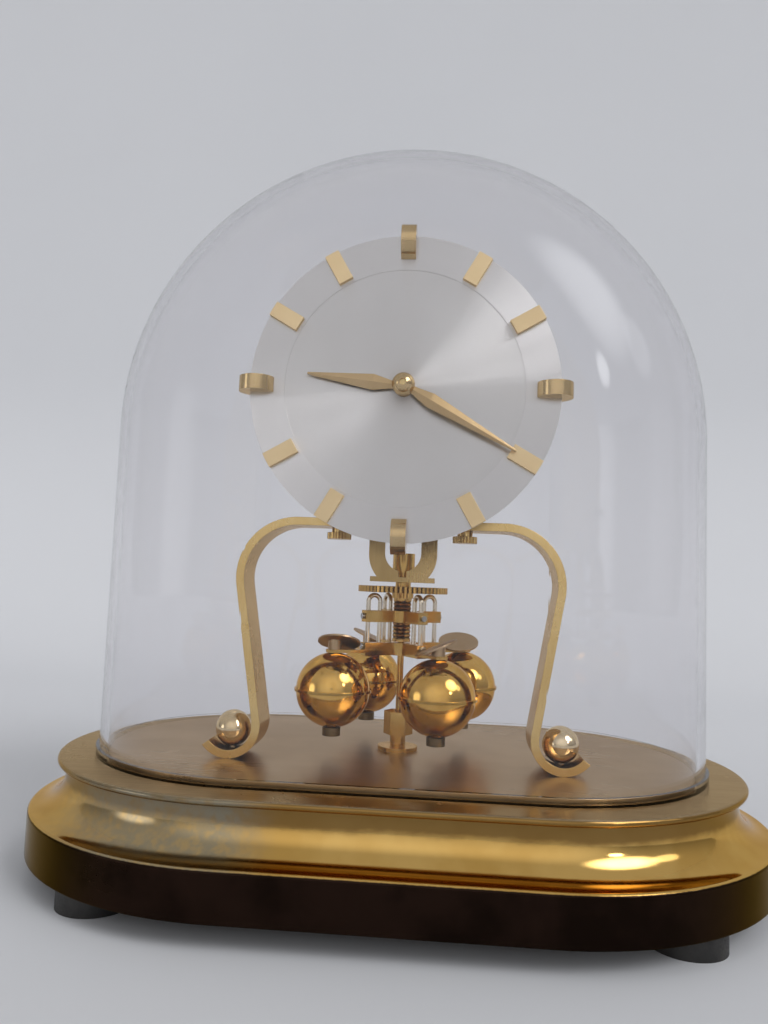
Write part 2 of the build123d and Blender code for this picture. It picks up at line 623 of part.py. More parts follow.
def leg_screw(side):
    """Screw from under the deck, through the strip and into the ball."""
    x = side * LEG_CURL_X
    head = cyl(LEG_SCREW_HEAD_R, UNDER_Z - LEG_SCREW_HEAD_H, UNDER_Z, x, LEG_Y)
    return head + cyl(LEG_SCREW_R, UNDER_Z, PLATE_Z + LEG_T + LEG_BALL_R, x, LEG_Y)


def thumb_nut(side):
    """Knurled nut under the level top of a leg."""
    top = LEG_TOP_Z - LEG_T
    seat = top - THUMB_COLLAR_H
    x = side * STUD_X
    sketch = toothed(THUMB_R, THUMB_R - THUMB_KNURL, THUMB_TEETH, tip_share=0.4)
    knob = Pos(x, LEG_Y, top - THUMB_H) * extrude(sketch, amount=THUMB_H - THUMB_COLLAR_H)
    knob += cyl(THUMB_COLLAR_R, seat, top, x, LEG_Y)
    return knob - cyl(STUD_R, top - THUMB_H - 1, top + 1, x, LEG_Y)


# Movement frame
def move_plate(y0, y1, holes):
    """Upright plate with rounded corners and drilled holes."""
    height = MOVE_TOP_Z - LEG_TOP_Z
    sketch = RectangleRounded(2 * MOVE_HALF_W, height, MOVE_CORNER)
    plate = slab(sketch, y0, y1, 0, LEG_TOP_Z + height / 2)
    for x, z, r in holes:
        plate -= rod(r, y0 - 1, y1 + 1, x, z)
    return plate


def front_plate():
    holes = [(x, z, PLATE_SCREW_R + PASS) for x, z in POSTS]
    holes += [(*p, PIVOT_R + RUN) for p in (THIRD, SECOND, FOURTH, ESCAPE, ANCHOR)]
    holes += [(*CENTRE, ARBOR_R + RUN), (*BARREL, WIND_R + RUN)]
    holes += [(x, z, PLATE_SCREW_R) for x, z in DIAL_POSTS]
    stud = rod(PIVOT_R, DIAL_Y + DIAL_T + AIR, FRONT_Y, *MINUTE)
    return move_plate(FRONT_Y, INNER_Y, holes) + stud


def back_plate():
    holes = [(x, z, PLATE_SCREW_R + PASS) for x, z in POSTS]
    holes += [(*p, PIVOT_R + RUN) for p in (THIRD, SECOND, FOURTH, ESCAPE, CENTRE, ANCHOR)]
    holes += [(*BARREL, WIND_R + RUN)]
    holes += [(x, z, PLATE_SCREW_R) for x, z in YOKE_SCREWS + SADDLE_SCREWS]
    stud = rod(CLICK_PIN_R, BACK_Y, RATCHET_Y + RATCHET_T + AIR, *CLICK)
    return move_plate(OUTER_Y, BACK_Y, holes) + stud


def leg_block(side):
    """Cross block between the plates with a stud down through the leg."""
    x = side * STUD_X
    body = block(x - BLOCK_W / 2, x + BLOCK_W / 2, INNER_Y, OUTER_Y, LEG_TOP_Z, LEG_TOP_Z + BLOCK_H)
    body += cyl(STUD_R, LEG_TOP_Z - LEG_T - THUMB_H, LEG_TOP_Z, x, LEG_Y)
    for y0, y1 in ((INNER_Y, INNER_Y + GRIP), (OUTER_Y - GRIP, OUTER_Y)):
        body -= rod(PLATE_SCREW_R, y0, y1, x, BLOCK_Z)
    return body


def pillar(side):
    """Turned pillar between the plates."""
    x = side * PILLAR_X
    body = rod(PILLAR_WAIST_R, INNER_Y, OUTER_Y, x, PILLAR_Z)
    for y0, y1 in ((INNER_Y, INNER_Y + GRIP), (OUTER_Y - GRIP, OUTER_Y)):
        body += rod(PILLAR_R, y0, y1, x, PILLAR_Z)
        body -= rod(PLATE_SCREW_R, y0, y1, x, PILLAR_Z)
    return body


def plate_screw(x, z, at_front):
    """Cheese-head screw into the end of a pillar or block."""
    if at_front:
        head = rod(PLATE_SCREW_HEAD_R, FRONT_Y - PLATE_SCREW_HEAD_H, FRONT_Y, x, z)
        return head + rod(PLATE_SCREW_R, FRONT_Y, INNER_Y + GRIP, x, z)
    head = rod(PLATE_SCREW_HEAD_R, BACK_Y, BACK_Y + PLATE_SCREW_HEAD_H, x, z)
    return head + rod(PLATE_SCREW_R, OUTER_Y - GRIP, BACK_Y, x, z)


# Dial
def dial():
    """Thin round dial with a shallow step between its two zones."""
    disc = slab(Circle(DIAL_R) - Circle(DIAL_HOLE_R), DIAL_Y, DIAL_Y + DIAL_T, *CENTRE)
    return disc - slab(Circle(DIAL_ZONE_R), DIAL_Y - 1, DIAL_Y + DIAL_STEP, *CENTRE)


def dial_post(x, z):
    """Post riveted behind the dial and screwed to the front plate."""
    return rod(DIAL_POST_R, DIAL_Y + DIAL_T, FRONT_Y, x, z) + rod(PLATE_SCREW_R, FRONT_Y, INNER_Y, x, z)


def dial_bar(angle):
    """Flat bar with its outer end flush with the dial's edge."""
    bar = Rot(0, 0, angle) * Pos(DIAL_R - BAR_L / 2, 0) * Rectangle(BAR_L, BAR_W)
    return slab(bar & Circle(DIAL_R), DIAL_Y - BAR_T, DIAL_Y, *CENTRE)


def about_centre(shape, angle):
    """Turn a shape made on the +X side to its place round the dial."""
    return Pos(CENTRE[0], 0, CENTRE[1]) * Rot(0, -angle, 0) * shape


def dial_roll(angle):
    """Round marker, slotted to clip over the dial's edge."""
    roll = Pos(DIAL_R + ROLL_OUT - ROLL_R, DIAL_Y + DIAL_T / 2, 0) * Cylinder(ROLL_R, ROLL_L)
    return about_centre(roll, angle) - slab(Circle(DIAL_R), DIAL_Y, DIAL_Y + DIAL_T, *CENTRE)


# Hands
def hand_blade(length, widest, y, angle):
    """Lance-shaped blade with a ridge, its back on the plane y."""
    neck_end = HAND_BOSS_R + HAND_NECK_L
    stations = [(HAND_BOSS_R / 2, HAND_NECK_W), (neck_end, HAND_NECK_W),
                (HAND_WIDEST, widest), (length, HAND_TIP_W)]
    faces = []
    for along, half in stations:
        ridge = HAND_T + HAND_SLOPE * half
        outline = Polygon((-half, 0), (half, 0), (half, HAND_T), (0, ridge), (-half, HAND_T), align=None)
        section = Plane(origin=(along, y, 0), x_dir=(0, 0, 1), z_dir=(1, 0, 0)) * outline
        faces.append(section.face())
    return about_centre(loft(faces, ruled=True), angle)


def hand(length, widest, y, angle, bore):
    boss = rod(HAND_BOSS_R, y - HAND_BOSS_T, y, *CENTRE)
    whole = boss + hand_blade(length, widest, y, angle)
    return whole - rod(bore, y - HAND_BOSS_T - 1, y + 1, *CENTRE)


def hour_hand():
    return hand(HOUR_L, HOUR_W, HOUR_Y, HOUR_ANGLE, HOUR_PIPE_R)


def minute_hand():
    return hand(MINUTE_L, MINUTE_W, MINUTE_Y, MINUTE_ANGLE, PIPE_R)


def hand_nut():
    """Domed round nut in front of the hands."""
    swell = (NUT_R ** 2 + NUT_H ** 2) / (2 * NUT_H)
    sphere = Pos(CENTRE[0], NUT_Y - NUT_H + swell, CENTRE[1]) * Sphere(swell)
    cap = sphere & rod(NUT_R, NUT_Y - NUT_H, NUT_Y, *CENTRE)
    return cap - rod(ARBOR_R, NUT_Y - NUT_H - 1, NUT_Y + 1, *CENTRE)


# Motion work between the front plate and the dial
def cannon_pinion():
    teeth = slab(gear(CANNON_TEETH, FINE, CENTRE_TO_MINUTE), CANNON_Y - WHEEL_T - AIR, CANNON_Y, *CENTRE)
    pipe = rod(PIPE_R, NUT_Y, CANNON_Y, *CENTRE)
    return teeth + pipe - rod(ARBOR_R, NUT_Y - 1, CANNON_Y + 1, *CENTRE)


def minute_wheel():
    back = CENTRE_TO_MINUTE + 180
    teeth = crossed(MINUTE_TEETH, FINE, back + 180 / MINUTE_TEETH)
    wheel = slab(teeth, CANNON_Y - WHEEL_T, CANNON_Y, *MINUTE)
    leaves = slab(gear(MINUTE_PINION, MOTION, back), PAIR_Y - WHEEL_T - AIR, CANNON_Y - WHEEL_T, *MINUTE)
    return wheel + leaves - rod(PIVOT_R + RUN, DIAL_Y, INNER_Y, *MINUTE)


def hour_wheel():
    sketch = gear(HOUR_TEETH, MOTION, CENTRE_TO_MINUTE + 180 / HOUR_TEETH)
    wheel = slab(sketch, PAIR_Y - WHEEL_T, PAIR_Y, *CENTRE)
    pipe = rod(HOUR_PIPE_R, HOUR_Y - HAND_BOSS_T, PAIR_Y, *CENTRE)
    return wheel + pipe - rod(PIPE_R + RUN, MINUTE_Y, FRONT_Y, *CENTRE)


# Going train between the plates
def arbor(place):
    """Arbor with a pivot in each plate."""
    return rod(ARBOR_R, INNER_Y + AIR, OUTER_Y - AIR, *place) + rod(PIVOT_R, FRONT_Y, BACK_Y, *place)


def barrel():
    """Drum with the great wheel, running on the winding arbor."""
    outward = SECOND_TO_BARREL + 180
    wheel = slab(gear(BARREL_TEETH, FINE, outward), GREAT_Y - GREAT_T, GREAT_Y, *BARREL)
    drum = rod(DRUM_R, GREAT_Y - GREAT_T - DRUM_L, GREAT_Y - GREAT_T, *BARREL)
    return wheel + drum - rod(WIND_R + RUN, INNER_Y, OUTER_Y, *BARREL)


def second_wheel():
    inward = THIRD_TO_SECOND + 180
    wheel = slab(crossed(SECOND_TEETH, FINE, inward), SECOND_Y - WHEEL_T, SECOND_Y, *SECOND)
    leaves = gear(SLOW_PINION, FINE, SECOND_TO_BARREL + 180 / SLOW_PINION)
    return arbor(SECOND) + wheel + slab(leaves, GREAT_Y - GREAT_T - AIR, GREAT_Y + AIR, *SECOND)


def third_wheel():
    inward = CENTRE_TO_THIRD + 180
    wheel = slab(crossed(THIRD_TEETH, FINE, inward), THIRD_Y - WHEEL_T, THIRD_Y, *THIRD)
    leaves = gear(SLOW_PINION, FINE, THIRD_TO_SECOND + 180 / SLOW_PINION)
    return arbor(THIRD) + wheel + slab(leaves, THIRD_Y, SECOND_Y + AIR, *THIRD)


def centre_wheel():
    """Centre arbor with its pinion and wheel; its front end carries the hands."""
    wheel = slab(crossed(CENTRE_TEETH, STRONG, CENTRE_TO_FOURTH), CENTRE_Y - WHEEL_T, CENTRE_Y, *CENTRE)
    leaves = gear(SLOW_PINION, FINE, CENTRE_TO_THIRD + 180 / SLOW_PINION)
    pinion = slab(leaves, INNER_Y + AIR / 2, THIRD_Y + AIR, *CENTRE)
    shaft = rod(ARBOR_R, NUT_Y - NUT_H + NUT_SINK, OUTER_Y - AIR, *CENTRE)
    return shaft + rod(PIVOT_R, CENTRE_Y - WHEEL_T, BACK_Y, *CENTRE) + wheel + pinion


def fourth_wheel():
    inward = CENTRE_TO_FOURTH + 180
    wheel = slab(crossed(FOURTH_TEETH, STRONG, FOURTH_TO_ESCAPE), FOURTH_Y - WHEEL_T, FOURTH_Y, *FOURTH)
    leaves = gear(FAST_PINION, STRONG, inward + 180 / FAST_PINION)
    return arbor(FOURTH) + wheel + slab(leaves, CENTRE_Y - WHEEL_T - AIR, OUTER_Y - AIR, *FOURTH)


def escape_wheel():
    """Wheel with raked pointed teeth."""
    step = 360 / ESCAPE_TEETH
    root = ESCAPE_R - ESCAPE_DEPTH
    points = []
    for k in range(ESCAPE_TEETH):
        for r, share in ((ESCAPE_R, 0), (ESCAPE_R, 0.08), (root, 0.35), (root, 0.8)):
            points.append(polar(r, (k + share) * step))
    wheel = slab(Polygon(*points, align=None), ESCAPE_Y - WHEEL_T, ESCAPE_Y, *ESCAPE)
    leaves = gear(FAST_PINION, STRONG, FOURTH_TO_ESCAPE + 180 + 180 / FAST_PINION)
    return arbor(ESCAPE) + wheel + slab(leaves, FOURTH_Y - WHEEL_T - AIR, FOURTH_Y + AIR, *ESCAPE)


def anchor():
    """Anchor with two pallets over the escape wheel and a crutch pin behind the back plate."""
    low = ESCAPE_R + PALLET_GAP
    drop = (0.0, -ANCHOR_RISE)
    sketch = Circle(ANCHOR_HUB_R)
    for side in SIDES:
        lie = 90 + side * PALLET_SPREAD
        elbow = polar(low + PALLET_L, lie, drop)
        reach = hypot(*elbow)
        lean = degrees(atan2(elbow[1], elbow[0]))
        sketch += Rot(0, 0, lean) * Pos(reach / 2, 0) * Rectangle(reach, PALLET_W)
        sketch += Pos(*polar(low + PALLET_L / 2, lie, drop)) * Rot(0, 0, lie) * Rectangle(PALLET_L, PALLET_W)
        sketch += Pos(*elbow) * Circle(PALLET_W / 2)
    shaft = rod(ARBOR_R, INNER_Y + AIR, OUTER_Y - AIR, *ANCHOR)
    shaft += rod(PIVOT_R, FRONT_Y, CRUTCH_R - CRUTCH_OUT, *ANCHOR)
    pin = cyl(CRUTCH_R, ANCHOR_Z, FORK_Z + CRUTCH_UP, 0, -CRUTCH_OUT)
    return shaft + slab(sketch, ESCAPE_Y - WHEEL_T - AIR, ESCAPE_Y + AIR, *ANCHOR) + pin


# Winding work behind the back plate
def winding_arbor():
    """Arbor of the mainspring with a square for the key."""
    seat = RATCHET_Y + RATCHET_T
    square = Rectangle(WIND_SQUARE, WIND_SQUARE)
    return rod(WIND_R, FRONT_Y, seat, *BARREL) + slab(square, seat, seat + WIND_OUT, *BARREL)


def ratchet_wheel():
    """Saw-toothed wheel on the winding arbor."""
    step = 360 / RATCHET_TEETH
    points = []
    for k in range(RATCHET_TEETH):
        points.append(polar(RATCHET_R, k * step))
        points.append(polar(RATCHET_R - RATCHET_DEPTH, k * step))
    wheel = slab(Polygon(*points, align=None), RATCHET_Y, RATCHET_Y + RATCHET_T, *BARREL)
    return wheel - rod(WIND_R, RATCHET_Y - 1, RATCHET_Y + RATCHET_T + 1, *BARREL)


def click():
    """Pawl with its nose just over the ratchet's teeth."""
    nose = Polygon((-CLICK_L, 0), (0, 0), (0, CLICK_W), (-CLICK_L + CLICK_W, CLICK_W), align=None)
    body = Pos(0, AIR - CLICK_W / 2) * nose + Circle(CLICK_EYE_R)
    return slab(body - Circle(CLICK_PIN_R + RUN), RATCHET_Y, RATCHET_Y + RATCHET_T, *CLICK)


# Suspension
def saddle():
    """Bracket on the back plate with a shelf over the pendulum's axis."""
    w = SADDLE_W / 2
    top = SADDLE_Z + SADDLE_T
    bracket = block(-w, w, BACK_Y, BACK_Y + SADDLE_T, SADDLE_FOOT_Z, top)
    bracket += block(-w, w, BACK_Y, SADDLE_BACK, SADDLE_Z, top)
    for x, z in SADDLE_SCREWS:
        bracket -= rod(PLATE_SCREW_R + PASS, BACK_Y - 1, BACK_Y + SADDLE_T + 1, x, z)
    return bracket - cyl(PLATE_SCREW_R + PASS, SADDLE_Z - 1, top + 1)


def bracket_screw(x, z, seat, head_r):
    """Screw through a bracket into the back plate."""
    return rod(head_r, seat, seat + PLATE_SCREW_HEAD_H, x, z) + rod(PLATE_SCREW_R, OUTER_Y, seat, x, z)


def upper_block():
    """Block that clamps the top of the suspension ribbon, hung from the saddle by a screw."""
    w, d = BLOCK_TOP_W / 2, BLOCK_TOP_D / 2
    top = SADDLE_Z + SADDLE_T
    body = block(-w, w, -d, d, WIRE_TOP_Z, SADDLE_Z) + cyl(PLATE_SCREW_R, SADDLE_Z, top)
    return body + cyl(PLATE_SCREW_HEAD_R, top, top + PLATE_SCREW_HEAD_H)


def ribbon(z0, z1):
    return block(-WIRE_W / 2, WIRE_W / 2, -WIRE_T / 2, WIRE_T / 2, z0, z1)


def suspension_ribbon():
    """Flat torsion ribbon between the blocks."""
    return ribbon(WIRE_LOW_Z, WIRE_TOP_Z)


def fork():
    """Fork clamped on the ribbon, its tines round the crutch pin."""
    gap = CRUTCH_R + PASS + RUN
    z0, z1 = FORK_Z - FORK_H / 2, FORK_Z + FORK_H / 2
    front = -CRUTCH_OUT - CRUTCH_R - FORK_TINE
    body = block(-FORK_W / 2, FORK_W / 2, front, FORK_W / 2, z0, z1)
    body -= block(-gap, gap, front - 1, -FORK_W / 2, z0 - 1, z1 + 1)
    return body - ribbon(z0 - 1, z1 + 1)


def yoke():
    """Bracket with two horns and a shelf bent back under the suspension."""
    shelf_top = SHELF_Z + YOKE_SHELF_T
    middle = shelf_top + YOKE_BELLY
    rise = LEG_TOP_Z + YOKE_UP - middle
    far = 2 * (YOKE_R + YOKE_BELLY + rise)
    sketch = Circle(YOKE_R) + Pos(0, rise / 2) * Rectangle(2 * YOKE_R, rise)
    sketch -= Pos(0, YOKE_IN_UP) * Circle(YOKE_IN_R)
    sketch -= Pos(0, YOKE_IN_UP + far / 2) * Rectangle(2 * YOKE_IN_R, far)
    sketch -= Rectangle(YOKE_SLOT, far)
    sketch -= Pos(0, rise + far / 2) * Rectangle(far, far)
    sketch -= Pos(0, -YOKE_BELLY - far / 2) * Rectangle(far, far)
    w = YOKE_R - YOKE_SHELF_IN
    shelf = block(-w, w, BACK_Y, YOKE_SHELF_BACK, SHELF_Z, shelf_top)
    shelf -= cyl(YOKE_HOLE_R, SHELF_Z - 1, shelf_top + 1)
    bracket = slab(sketch, BACK_Y, BACK_Y + YOKE_T, 0, middle) + shelf
    for x, z in YOKE_SCREWS:
        bracket -= rod(PLATE_SCREW_R + PASS, BACK_Y - 1, BACK_Y + YOKE_T + 1, x, z)
    return bracket


# Pendulum
def lower_block():
    """Slotted round block that clamps the foot of the ribbon."""
    w = LOW_BLOCK_SLOT / 2
    floor = WIRE_LOW_Z - LOW_BLOCK_SLOT_H
    body = cyl(LOW_BLOCK_R, LOW_BLOCK_Z, WIRE_LOW_Z)
    body -= block(-w, w, -LOW_BLOCK_R - 1, LOW_BLOCK_R + 1, floor, WIRE_LOW_Z + 1)
    return body + block(-w, w, -w, w, floor, WIRE_LOW_Z)


def spindle():
    """Central rod with its guide tip below and a collar through the yoke's shelf."""
    tip = POST_TOP_Z - POST_BORE_DEPTH + TIP_GAP
    return cyl(SPINDLE_R, tip, COLLAR_Z) + cyl(COLLAR_R, COLLAR_Z, LOW_BLOCK_Z)


def screw_rings():
    """Half section of the regulating screw with a pointed groove for each pitch."""
    count = int((SCREW_L - SCREW_PITCH) / SCREW_PITCH)
    points = [(SPINDLE_R + RUN, 0), (SCREW_R, 0)]
    for k in range(count):
        z = SCREW_PITCH * (k + 0.6)
        points += [(SCREW_R, z), (SCREW_R - SCREW_DEPTH, z + SCREW_PITCH / 2)]
    points += [(SCREW_R, SCREW_PITCH * (count + 0.6)), (SCREW_R, SCREW_L), (SPINDLE_R + RUN, SCREW_L)]
    return Polygon(*points, align=None)


def regulator():
    """Knurled regulating disc with a fluted hub and a screw below it."""
    screw = Pos(0, 0, SCREW_Z) * revolve(Plane.XZ * screw_rings(), axis=Axis.Z)
    fluted = toothed(GEAR_HUB_R, GEAR_HUB_R - GEAR_HUB_FLUTE, GEAR_HUB_TEETH, tip_share=0.3)
    hub = Pos(0, 0, GEAR_HUB_Z) * extrude(fluted, amount=GEAR_HUB_H)
    knurled = toothed(DISC_R, DISC_R - DISC_KNURL, DISC_TEETH, tip_share=0.4)
    disc = Pos(0, 0, DISC_Z) * extrude(knurled, amount=DISC_T)
    return screw + (hub + disc - cyl(SPINDLE_R + RUN, GEAR_HUB_Z - 1, COLLAR_Z + 1))


def eared_hub(z, height, bore, wire_r, wire_z):
    """Hub with an ear for each ball, drilled for the two legs of a hairpin."""
    hub = cyl(HUB_R, z, z + height)
    for angle in BALLS:
        hub += Rot(0, 0, angle) * block(0, EAR_R, -EAR_W / 2, EAR_W / 2, z, z + height)
    hub -= cyl(bore, z - 1, z + height + 1)
    for angle in BALLS:
        for r in (PIN_IN_R, PIN_OUT_R):
            hub -= cyl(wire_r, wire_z, z + height + 1, *polar(r, angle))
    return hub


def upper_hub():
    return eared_hub(HIGH_HUB_Z, HIGH_HUB_H, SCREW_R + RUN, PIN_WIRE_R + PASS, HIGH_HUB_Z - 1)


def lower_hub():
    """Eared hub with arms that carry the balls."""
    hub = eared_hub(LOW_HUB_Z, LOW_HUB_H, SPINDLE_R, PIN_WIRE_R, LOW_HUB_Z + LOW_HUB_H - PIN_SINK)
    for angle in BALLS:
        arm = block(HUB_R, BALL_ORBIT + CAP_BOSS_R, -ARM_W / 2, ARM_W / 2, ARM_Z, ARM_Z + ARM_T)
        arm -= cyl(BALL_BOLT_R, ARM_Z - 1, ARM_Z + ARM_T + 1, BALL_ORBIT)
        hub += Rot(0, 0, angle) * arm
    return hub


def ear_screw(angle, z):
    """Small clamp screw in the end of an ear."""
    seat = Plane(origin=(EAR_R, 0, z), x_dir=(0, 1, 0), z_dir=(1, 0, 0))
    screw = Cylinder(EAR_SCREW_R, EAR_SCREW_OUT, align=(Align.CENTER, Align.CENTER, Align.MIN))
    return Rot(0, 0, angle) * (seat * screw)


def hairpin(angle):
    """Bent wire guide: two legs and a round top, in a plane through the axis."""
    low = LOW_HUB_Z + LOW_HUB_H - PIN_SINK
    bend = PIN_SPAN / 2
    top = DISC_Z - AIR - PIN_WIRE_R - bend
    path = Line((PIN_IN_R, 0, low), (PIN_IN_R, 0, top))
    path += ThreePointArc((PIN_IN_R, 0, top), (PIN_IN_R + bend, 0, top + bend), (PIN_OUT_R, 0, top))
    path += Line((PIN_OUT_R, 0, top), (PIN_OUT_R, 0, low))
    wire = sweep(Pos(PIN_IN_R, 0, low) * Circle(PIN_WIRE_R), path=path)
    return Rot(0, 0, angle) * wire


def ball(angle):
    """Polished ball with a seam bead, bored for its bolt."""
    x, y = polar(BALL_ORBIT, angle)
    body = Pos(x, y, BALL_Z) * Sphere(BALL_R)
    body += cyl(BALL_R + BALL_BEAD, BALL_Z - BALL_BEAD_H / 2, BALL_Z + BALL_BEAD_H / 2, x, y)
    body = body & cyl(BALL_R + BALL_BEAD + 1, BALL_LOW_Z, ARM_Z, x, y)
    return body - cyl(BALL_BOLT_R, BALL_LOW_Z - 1, ARM_Z + 1, x, y)


def ball_bolt(angle):
    x, y = polar(BALL_ORBIT, angle)
    head = cyl(BALL_HEAD_R, ARM_Z + ARM_T, ARM_Z + ARM_T + BALL_HEAD_H, x, y)
    return head + cyl(BALL_BOLT_R, BALL_NUT_Z, ARM_Z + ARM_T, x, y)


def ball_nut(angle):
    x, y = polar(BALL_ORBIT, angle)
    nut = cyl(BALL_NUT_R, BALL_NUT_Z, BALL_LOW_Z, x, y)
    return nut - cyl(BALL_BOLT_R, BALL_NUT_Z - 1, BALL_LOW_Z + 1, x, y)


def petal_cap(angle):
    """Flat disc over a ball, tilted like a blade, on a boss round the head of the bolt."""
    x, y = polar(BALL_ORBIT, angle)
    rim = ARM_Z + ARM_T
    seat = Pos(x, y, rim + BALL_HEAD_H + CAP_UP) * Rot(0, 0, angle) * Pos(-CAP_IN, 0, 0)
    seat = seat * Rot(CAP_TWIST, 0, 0) * Rot(0, -CAP_TIP, 0)
    above = Box(4 * CAP_R, 4 * CAP_R, 4 * CAP_R, align=(Align.CENTER, Align.CENTER, Align.MIN))
    boss = cyl(CAP_BOSS_R, rim, rim + BALL_HEAD_H + CAP_UP + CAP_BOSS_R, x, y) - seat * above
    cap = boss + seat * Cylinder(CAP_R, CAP_T)
    return cap - cyl(BALL_HEAD_R + PASS, rim - 1, rim + BALL_HEAD_H + PASS, x, y)


PARTS = {
    "base_shell": base_shell(),
    "base_plate": base_plate(),
    "feet": group(foot(x, y) for x, y in FEET),
    "foot_nuts": group(foot_nut(x, y) for x, y in FEET),
    "guide_post": guide_post(),
    "guide_nut": guide_nut(),
    "glass_dome": glass_dome(),
    "leg_left": leg(-1),
    "leg_right": leg(1),
    "leg_balls": group(leg_ball(s) for s in SIDES),
    "leg_screws": group(leg_screw(s) for s in SIDES),
    "thumb_nuts": group(thumb_nut(s) for s in SIDES),
    "front_plate": front_plate(),
    "back_plate": back_plate(),
    "leg_blocks": group(leg_block(s) for s in SIDES),
    "pillars": group(pillar(s) for s in SIDES),
    "plate_screws": group(plate_screw(x, z, front) for x, z in POSTS for front in (True, False)),
    "dial": dial(),
    "dial_posts": group(dial_post(x, z) for x, z in DIAL_POSTS),
    "dial_bars": group(dial_bar(a) for k, a in enumerate(HOURS) if k % 3),
    "dial_rolls": group(dial_roll(a) for k, a in enumerate(HOURS) if k % 3 == 0),
    "hour_hand": hour_hand(),
    "minute_hand": minute_hand(),
    "hand_nut": hand_nut(),
    "cannon_pinion": cannon_pinion(),
    "minute_wheel": minute_wheel(),
    "hour_wheel": hour_wheel(),
    "barrel": barrel(),
    "second_wheel": second_wheel(),
    "third_wheel": third_wheel(),
    "centre_wheel": centre_wheel(),
    "fourth_wheel": fourth_wheel(),
    "escape_wheel": escape_wheel(),
    "anchor": anchor(),
    "winding_arbor": winding_arbor(),
    "ratchet_wheel": ratchet_wheel(),
    "click": click(),
    "saddle": saddle(),
    "saddle_screws": group(bracket_screw(*p, BACK_Y + SADDLE_T, SADDLE_HEAD_R) for p in SADDLE_SCREWS),
    "upper_block": upper_block(),
    "suspension_ribbon": suspension_ribbon(),
    "fork": fork(),
    "yoke": yoke(),
    "yoke_screws": group(bracket_screw(*p, BACK_Y + YOKE_T, PLATE_SCREW_HEAD_R) for p in YOKE_SCREWS),
    "lower_block": lower_block(),
    "spindle": spindle(),
    "regulator": regulator(),
    "upper_hub": upper_hub(),
    "upper_hub_screws": group(ear_screw(a, HIGH_HUB_Z + HIGH_HUB_H / 2) for a in BALLS),
    "hairpins": group(hairpin(a) for a in BALLS),
    "lower_hub": lower_hub(),
    "lower_hub_screws": group(ear_screw(a, ARM_Z + ARM_T + PASS + EAR_SCREW_R) for a in BALLS),
    "balls": group(ball(a) for a in BALLS),
    "ball_bolts": group(ball_bolt(a) for a in BALLS),
    "ball_nuts": group(ball_nut(a) for a in BALLS),
    "petal_caps": group(petal_cap(a) for a in BALLS),
}

os.makedirs("parts", exist_ok=True)
for name, shape in PARTS.items():
    export_step(shape, os.path.join("parts", name + ".step"))
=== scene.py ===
from math import asin, cos, pi, radians, sin

import bpy
from mathutils import Matrix, Vector


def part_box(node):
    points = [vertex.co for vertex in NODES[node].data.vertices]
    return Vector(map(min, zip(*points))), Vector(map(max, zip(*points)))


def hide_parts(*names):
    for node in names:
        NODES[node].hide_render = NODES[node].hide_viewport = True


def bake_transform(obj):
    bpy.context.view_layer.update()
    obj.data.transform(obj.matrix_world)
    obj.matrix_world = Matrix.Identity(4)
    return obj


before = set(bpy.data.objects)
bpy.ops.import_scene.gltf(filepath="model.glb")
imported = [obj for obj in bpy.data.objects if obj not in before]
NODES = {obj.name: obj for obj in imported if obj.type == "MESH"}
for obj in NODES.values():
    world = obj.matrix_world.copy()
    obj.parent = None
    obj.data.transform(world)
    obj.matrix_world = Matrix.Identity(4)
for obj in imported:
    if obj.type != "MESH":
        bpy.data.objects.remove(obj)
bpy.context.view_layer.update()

SCENE = bpy.context.scene

# Where a finish changes, in metres: where it begins and where it is complete
WALL_HEIGHT = (0.01895, 0.01870)    # wall below the base's cove, painted near black as a dark reflection
RECESS_SHADE_HEIGHT = (0.0262, 0.0282)    # painted shade band at the top of the cove
FLANGE_HEIGHT = (0.0318, 0.0328)    # satin flange round the dome's foot
TARNISH_RIGHT = (-0.024, -0.042)    # tarnish on the left of the cove, its right end
TARNISH_LEFT = (-0.098, -0.070)     # and its left end
DIAL_RING = (0.0346, 0.0351)        # radius of the dial's plain outer ring
BALL_JOINT = (0.00050, 0.00020)     # distance from the joint round a ball's middle
TEETH_ROOT = (0.0130, 0.0138)       # radius at the foot of the regulating disc's teeth
TEETH_TIP = (0.00005, 0.00040)      # depth under the disc's rim
THREAD_ROOT = (0.0022, 0.0025)      # radius at the foot of the regulating screw's thread
THREAD_TIP = (0.00298, 0.00270)     # radius at its top

# Ranges of a noise value that are spread over a whole finish
CLOUD_RANGE = (0.35, 0.65)
TONE_RANGE = (0.36, 0.64)
SMEAR_RANGE = (0.35, 0.7)
GRAIN_RANGE = (0.3, 0.7)

DIAL_LINES = 5200.0     # turning lines, per metre of radius

# Ribbon: gap from the fork down to the seam, and the lengths that each part is cut into
SEAM_GAP = 0.0003
UPPER_ROWS, LOWER_ROWS = 14, 60

# Room light: strength at two heights of the sky, and where the sky itself is seen
SKY_HEIGHTS = (-0.45, 0.65)
SKY_STRENGTHS = (0.10, 0.52)
PLAIN_STRENGTH = 0.52
SEEN_DEPTH = 4.5        # straight through the dome a ray meets four faces of glass
SKY_COLOUR = (0.97, 0.98, 1.0, 1.0)

# Soft patches of light: direction, full and empty angles in degrees, strength
PATCHES = {
    "key": ((0.61, -0.45, 0.65), 3.0, 19.0, 5.5),
    "front fill": ((0.0, -1.0, 0.20), 6.0, 50.0, 0.44),
    "streak": ((0.63, -0.69, 0.36), 2.0, 4.5, 9.0),
    "right window": ((0.84, -0.24, 0.48), 5.0, 9.0, 1.6),
    "left window": ((-0.87, -0.46, 0.08), 4.0, 15.0, 1.5),
}

